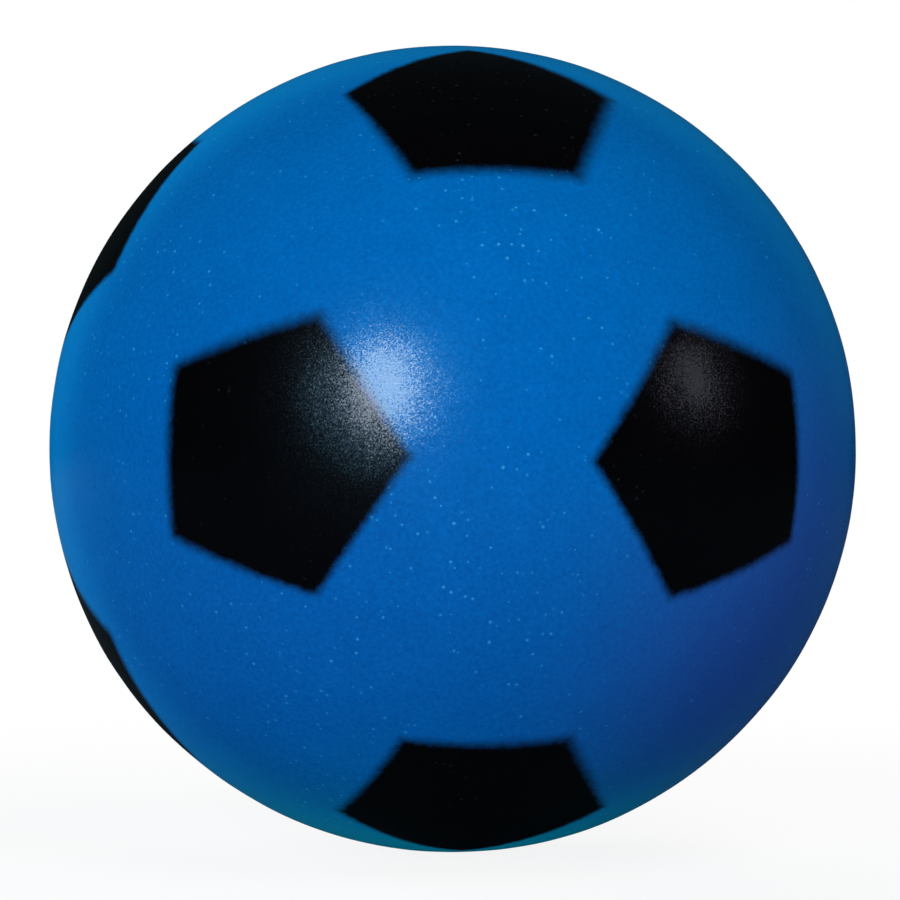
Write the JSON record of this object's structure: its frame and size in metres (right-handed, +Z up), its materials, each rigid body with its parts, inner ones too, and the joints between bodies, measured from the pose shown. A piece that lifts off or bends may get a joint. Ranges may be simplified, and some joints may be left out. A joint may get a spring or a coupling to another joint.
{
  "type": "foam ball",
  "caption": "Soft round foam play ball with a smooth blue skin and the black pentagons of a football, for kicking, throwing and catching indoors.",
  "frame": {"origin": "centre of the ball", "axes": "+Z up; the pattern's front faces -Y, with one pentagon at each side of the middle, and +X is to the right of that view"},
  "size_m": [0.2, 0.2, 0.2],
  "materials": {
    "foam_core": "matte, fine open cells of soft polyurethane foam",
    "blue_skin": "satin, dense moulded foam skin sprayed blue",
    "black_paint": "satin, foam skin dyed through with black paint"
  },
  "bodies": {
    "root": {"foam_core": "foam_core", "skin": "blue_skin", "pentagon_front_left": "black_paint", "pentagon_front_right": "black_paint", "pentagon_front_top": "black_paint", "pentagon_front_bottom": "black_paint", "pentagon_left_top": "black_paint", "pentagon_left_bottom": "black_paint", "pentagon_right_top": "black_paint", "pentagon_right_bottom": "black_paint", "pentagon_back_top": "black_paint", "pentagon_back_bottom": "black_paint", "pentagon_back_left": "black_paint", "pentagon_back_right": "black_paint"}
  },
  "joints": []
}
